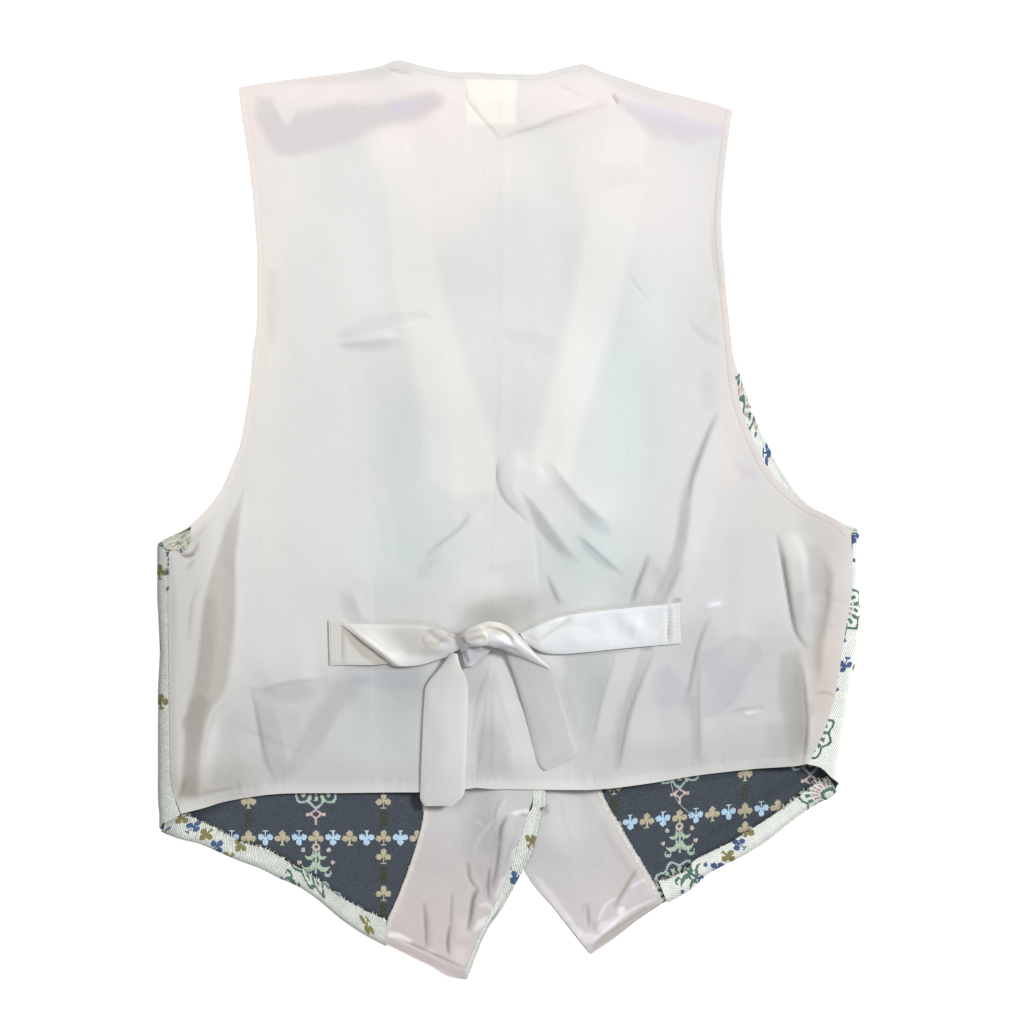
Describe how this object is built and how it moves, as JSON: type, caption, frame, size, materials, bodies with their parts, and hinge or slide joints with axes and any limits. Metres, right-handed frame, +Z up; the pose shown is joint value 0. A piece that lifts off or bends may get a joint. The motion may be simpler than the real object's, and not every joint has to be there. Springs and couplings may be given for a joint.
{
  "type": "tapestry vest",
  "caption": "Unlined waistcoat laid flat, face down: tapestry fronts with self hems and satin facings, a satin back, and a satin belt knotted across it.",
  "frame": {"origin": "middle of the footprint, on the surface that the garment lies on", "axes": "+Y from the hem to the neck, +X to the wearer's right, +Z up from the surface"},
  "size_m": [0.4859, 0.635, 0.0256],
  "materials": {
    "tapestry": "woven jacquard tapestry, matt",
    "back_satin": "thin satin, soft sheen",
    "facing_satin": "satin, soft sheen, puckered",
    "label": "plain woven tape, blank",
    "button": "smooth, slightly glossy"
  },
  "bodies": {
    "root": {"front_left": "tapestry", "front_right": "tapestry", "hem_left": "tapestry", "hem_right": "tapestry", "armhole_hem_left": "tapestry", "armhole_hem_right": "tapestry", "turned_edge_left": "tapestry", "facing_left": "facing_satin", "facing_right": "facing_satin", "back_left": "back_satin", "back_right": "back_satin", "neck_label": "label", "belt_strap_left": "back_satin", "belt_strap_right": "back_satin", "belt_tail_left": "back_satin", "belt_tail_right": "back_satin", "belt_knot": "back_satin", "button_1": "button", "button_2": "button", "button_3": "button", "button_4": "button"}
  },
  "joints": []
}
